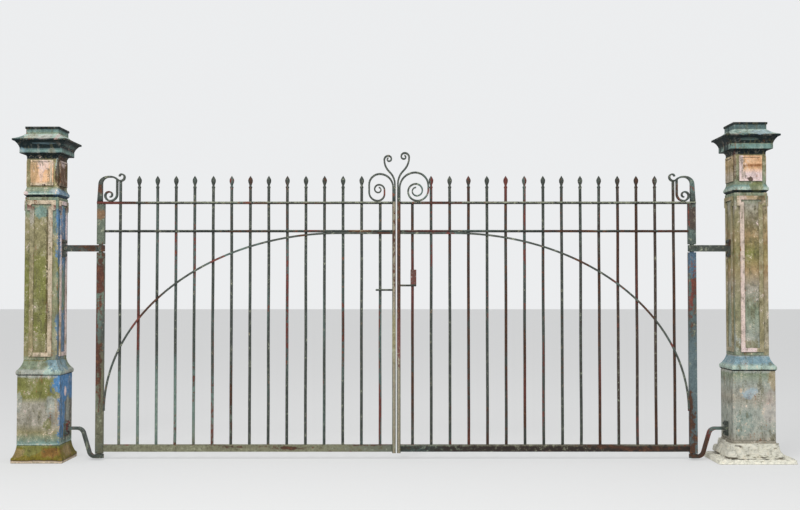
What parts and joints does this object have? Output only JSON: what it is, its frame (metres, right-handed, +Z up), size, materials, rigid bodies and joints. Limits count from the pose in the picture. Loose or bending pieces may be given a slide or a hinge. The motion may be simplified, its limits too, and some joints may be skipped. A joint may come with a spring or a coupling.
{
  "type": "double_driveway_gate",
  "caption": "Pair of wrought iron driveway leaves with spear pickets, arched braces and scrolls, between two square cast iron posts",
  "frame": {"origin": "middle of the left post's foot, on its flat underside", "axes": "+X along the gate from the left post to the right post, +Y to the back, +Z up"},
  "size_m": [4.7645, 0.4, 2.085],
  "materials": {
    "post_casting": "old green and cream paint, mossy and rust stained",
    "hinge_iron": "forged and rusted",
    "base_plate": "plate coated with pale lime wash",
    "mortar": "crumbling lime mortar",
    "leaf_iron": "dark grey-green paint flaking to rust",
    "lock_box": "dark red oxide paint"
  },
  "bodies": {
    "posts": {"left_post_foot": "post_casting", "left_post_plinth": "post_casting", "left_post_base_moulding": "post_casting", "left_post_shaft": "post_casting", "left_post_shaft_frames": "post_casting", "left_post_neck": "post_casting", "left_post_neck_panels": "post_casting", "left_post_cap": "post_casting", "left_post_top_hinge": "hinge_iron", "left_post_bottom_pivot": "hinge_iron", "right_post_foot": "post_casting", "right_post_plinth": "post_casting", "right_post_base_moulding": "post_casting", "right_post_shaft": "post_casting", "right_post_shaft_frames": "post_casting", "right_post_neck": "post_casting", "right_post_neck_panels": "post_casting", "right_post_cap": "post_casting", "right_post_top_hinge": "hinge_iron", "right_post_bottom_pivot": "hinge_iron", "right_post_base_plate": "base_plate", "right_post_mortar": "mortar"},
    "left_leaf": {"left_leaf_heel_stile": "leaf_iron", "left_leaf_meeting_stile": "leaf_iron", "left_leaf_bottom_rail": "leaf_iron", "left_leaf_middle_rail": "leaf_iron", "left_leaf_top_rail": "leaf_iron", "left_leaf_arched_brace": "leaf_iron", "left_leaf_spear_pickets": "leaf_iron", "left_leaf_plain_pickets": "leaf_iron", "left_leaf_heel_scroll": "leaf_iron", "left_leaf_centre_volute": "leaf_iron", "left_leaf_centre_stem": "leaf_iron", "left_leaf_lock_bar": "leaf_iron"},
    "right_leaf": {"right_leaf_heel_stile": "leaf_iron", "right_leaf_meeting_stile": "leaf_iron", "right_leaf_bottom_rail": "leaf_iron", "right_leaf_middle_rail": "leaf_iron", "right_leaf_top_rail": "leaf_iron", "right_leaf_arched_brace": "leaf_iron", "right_leaf_spear_pickets": "leaf_iron", "right_leaf_plain_pickets": "leaf_iron", "right_leaf_heel_scroll": "leaf_iron", "right_leaf_centre_volute": "leaf_iron", "right_leaf_centre_stem": "leaf_iron", "right_leaf_lock_bar": "leaf_iron", "right_leaf_lock_box": "lock_box"}
  },
  "joints": [
    {"name": "left_leaf_hinge", "type": "hinge", "parent": "posts", "child": "left_leaf", "pos_m": [0.34, 0, 0.05], "axis": [0, 0, 1], "range_deg": [0, 95]},
    {"name": "right_leaf_hinge", "type": "hinge", "parent": "posts", "child": "right_leaf", "pos_m": [4.02, 0, 0.05], "axis": [0, 0, -1], "range_deg": [0, 95]}
  ]
}
